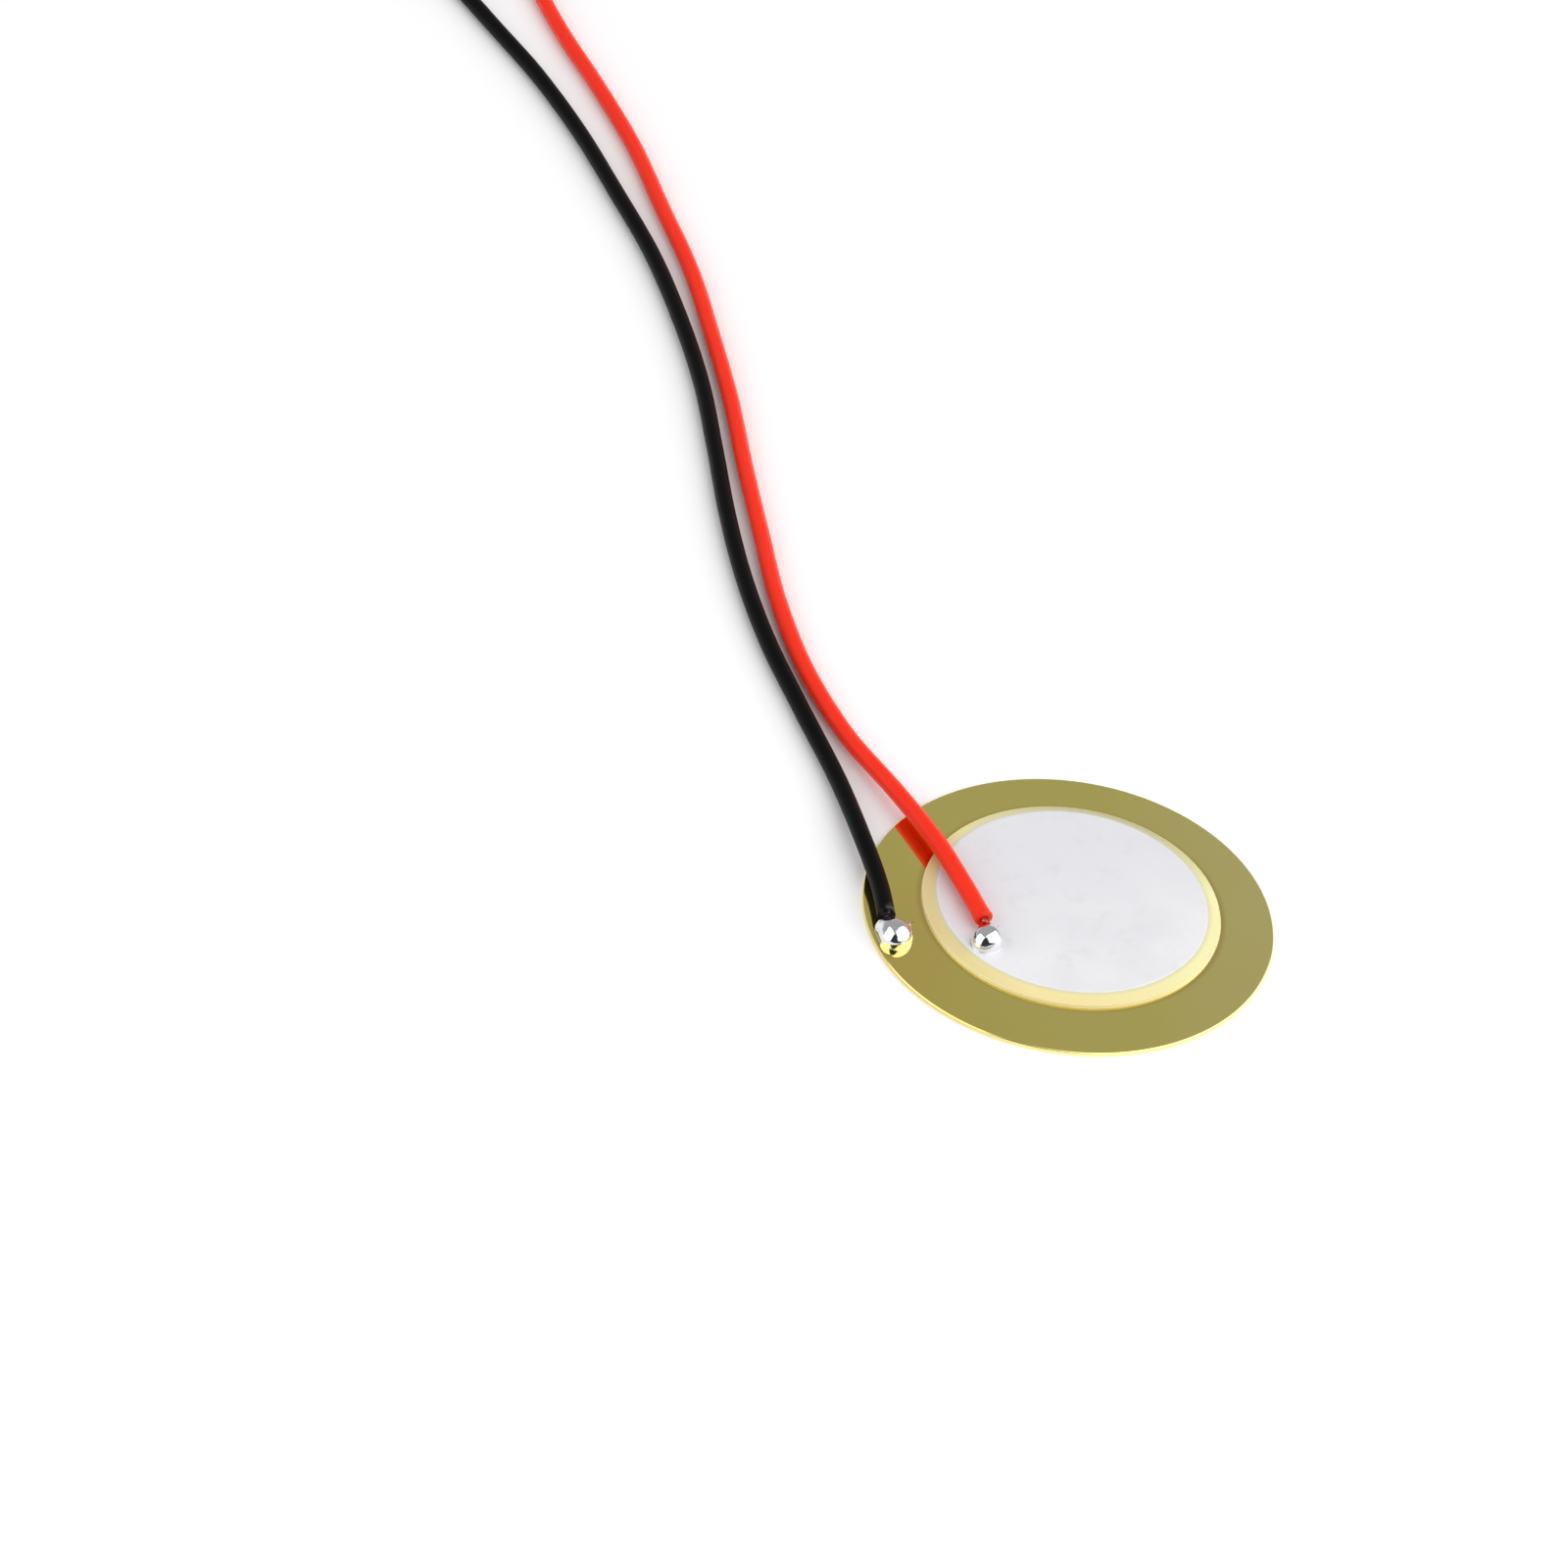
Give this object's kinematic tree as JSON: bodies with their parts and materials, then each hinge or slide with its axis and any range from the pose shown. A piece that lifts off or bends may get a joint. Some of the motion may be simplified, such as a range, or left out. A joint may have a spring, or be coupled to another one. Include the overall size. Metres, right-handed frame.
{
  "type": "piezo disc",
  "caption": "Thin round brass plate with a bonded piezo ceramic disc and two soldered flexible wire leads; turns bending into voltage, or voltage into sound.",
  "frame": {"origin": "centre of the brass plate's underside", "axes": "+Z out of the ceramic's side of the plate; +X to the right and +Y away, with both solder joints in the -X -Y quarter and the leads running off towards +Y and -X"},
  "size_m": [0.089, 0.145, 0.0019],
  "materials": {
    "brass": "polished",
    "adhesive": "satin",
    "silver": "matte",
    "piezo_ceramic": "satin",
    "solder": "gloss",
    "tinned_copper": "satin",
    "black_insulation": "satin",
    "red_insulation": "satin"
  },
  "bodies": {
    "root": {"brass_plate": "brass", "bond_film": "adhesive", "rear_silver": "silver", "ceramic_disc": "piezo_ceramic", "front_silver": "silver", "ground_solder": "solder", "signal_solder": "solder", "ground_strands": "tinned_copper", "signal_strands": "tinned_copper", "ground_lead": "black_insulation", "signal_lead": "red_insulation", "ground_tip": "tinned_copper", "signal_tip": "tinned_copper"}
  },
  "joints": []
}
